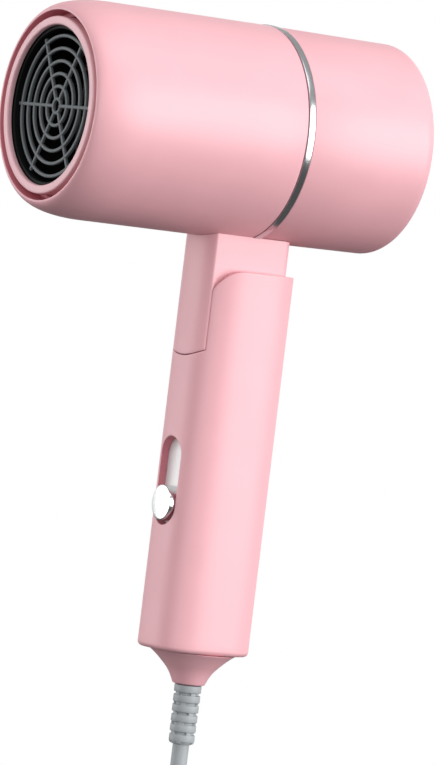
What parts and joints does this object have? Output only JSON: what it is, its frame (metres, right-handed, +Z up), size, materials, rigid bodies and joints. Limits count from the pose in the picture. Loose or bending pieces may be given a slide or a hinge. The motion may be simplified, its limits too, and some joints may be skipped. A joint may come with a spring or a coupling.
{
  "type": "folding hair dryer",
  "caption": "Hand-held hair dryer: round barrel with heater and fan, folding oval grip with a slide switch, and a grey mains cord folded into a hank.",
  "frame": {"origin": "middle of the oval grip, on its axis, where a hand holds the dryer", "axes": "+Z up along the grip towards the barrel, -X the way the air blows out of the barrel, +X towards the air intake, Y across the grip along the fold axis"},
  "size_m": [0.1353, 0.0754, 0.4239],
  "materials": {
    "pink_shell": "satin moulded ABS, soft sheen",
    "pink_trim": "satin moulded ABS, slightly paler",
    "polished_metal": "polished and clear-lacquered metal",
    "grey_wire": "fine satin heat-resistant coating",
    "black_plastic": "moulded heat-resistant plastic, matt",
    "pearl_plastic": "smooth moulded, glossy white",
    "steel": "turned or stamped, bright",
    "zinc_plate": "zinc plated sheet",
    "mica": "pressed mica board",
    "resistance_wire": "drawn nickel-chrome wire",
    "ferrite": "sintered ferrite",
    "copper_winding": "enamelled copper winding on a steel core",
    "grey_cord": "extruded PVC, satin light grey",
    "brass": "turned brass, bright",
    "lead_insulation": "extruded PVC insulation"
  },
  "bodies": {
    "handle": {"grip_shell": "pink_shell", "end_cap": "pink_shell", "hinge_pin": "steel", "switch_guide": "black_plastic", "switch_body": "black_plastic", "switch_screw_1": "steel", "switch_screw_2": "steel", "cord_clamp": "black_plastic", "clamp_screw_1": "steel", "clamp_screw_2": "steel", "cord_inner": "grey_cord", "inner_lead_1": "lead_insulation", "inner_lead_2": "lead_insulation", "strain_relief": "grey_cord", "cord_lead": "grey_cord", "cord_hank": "grey_cord", "cord_tail": "grey_cord", "cord_tie": "black_plastic", "plug_body": "grey_cord", "plug_pin_left": "brass", "plug_pin_right": "brass"},
    "slider": {"slider_plate": "pearl_plastic", "switch_knob": "polished_metal"},
    "head": {"front_barrel": "pink_shell", "rear_barrel": "pink_shell", "neck_arm": "pink_shell", "outlet_ring": "pink_trim", "rear_grille": "pink_trim", "trim_ring": "polished_metal", "outlet_grille": "grey_wire", "grille_frame": "black_plastic", "intake_filter": "black_plastic", "fan_duct": "black_plastic", "motor_end_cap": "black_plastic", "thermostat": "steel", "thermal_fuse": "steel", "neck_screw_1": "steel", "neck_screw_2": "steel", "motor_can": "zinc_plate", "heater_shield": "mica", "mica_board_upright": "mica", "mica_board_flat": "mica", "heater_coil": "resistance_wire", "motor_magnet_upper": "ferrite", "motor_magnet_lower": "ferrite", "hinge_bush": "brass", "neck_lead_1": "lead_insulation", "neck_lead_2": "lead_insulation"},
    "rotor": {"motor_shaft": "steel", "armature": "copper_winding", "fan_impeller": "black_plastic"}
  },
  "joints": [
    {"name": "fold", "type": "hinge", "parent": "handle", "child": "head", "pos_m": [-0.002, 0, 0.0534], "axis": [0, -1, 0], "range_deg": [0, 90]},
    {"name": "switch_slide", "type": "slide", "parent": "handle", "child": "slider", "axis": [0, 0, 1], "range_m": [0, 0.015]},
    {"name": "fan_spin", "type": "hinge", "parent": "head", "child": "rotor", "pos_m": [0, 0, 0.115], "axis": [1, 0, 0], "continuous": true}
  ]
}
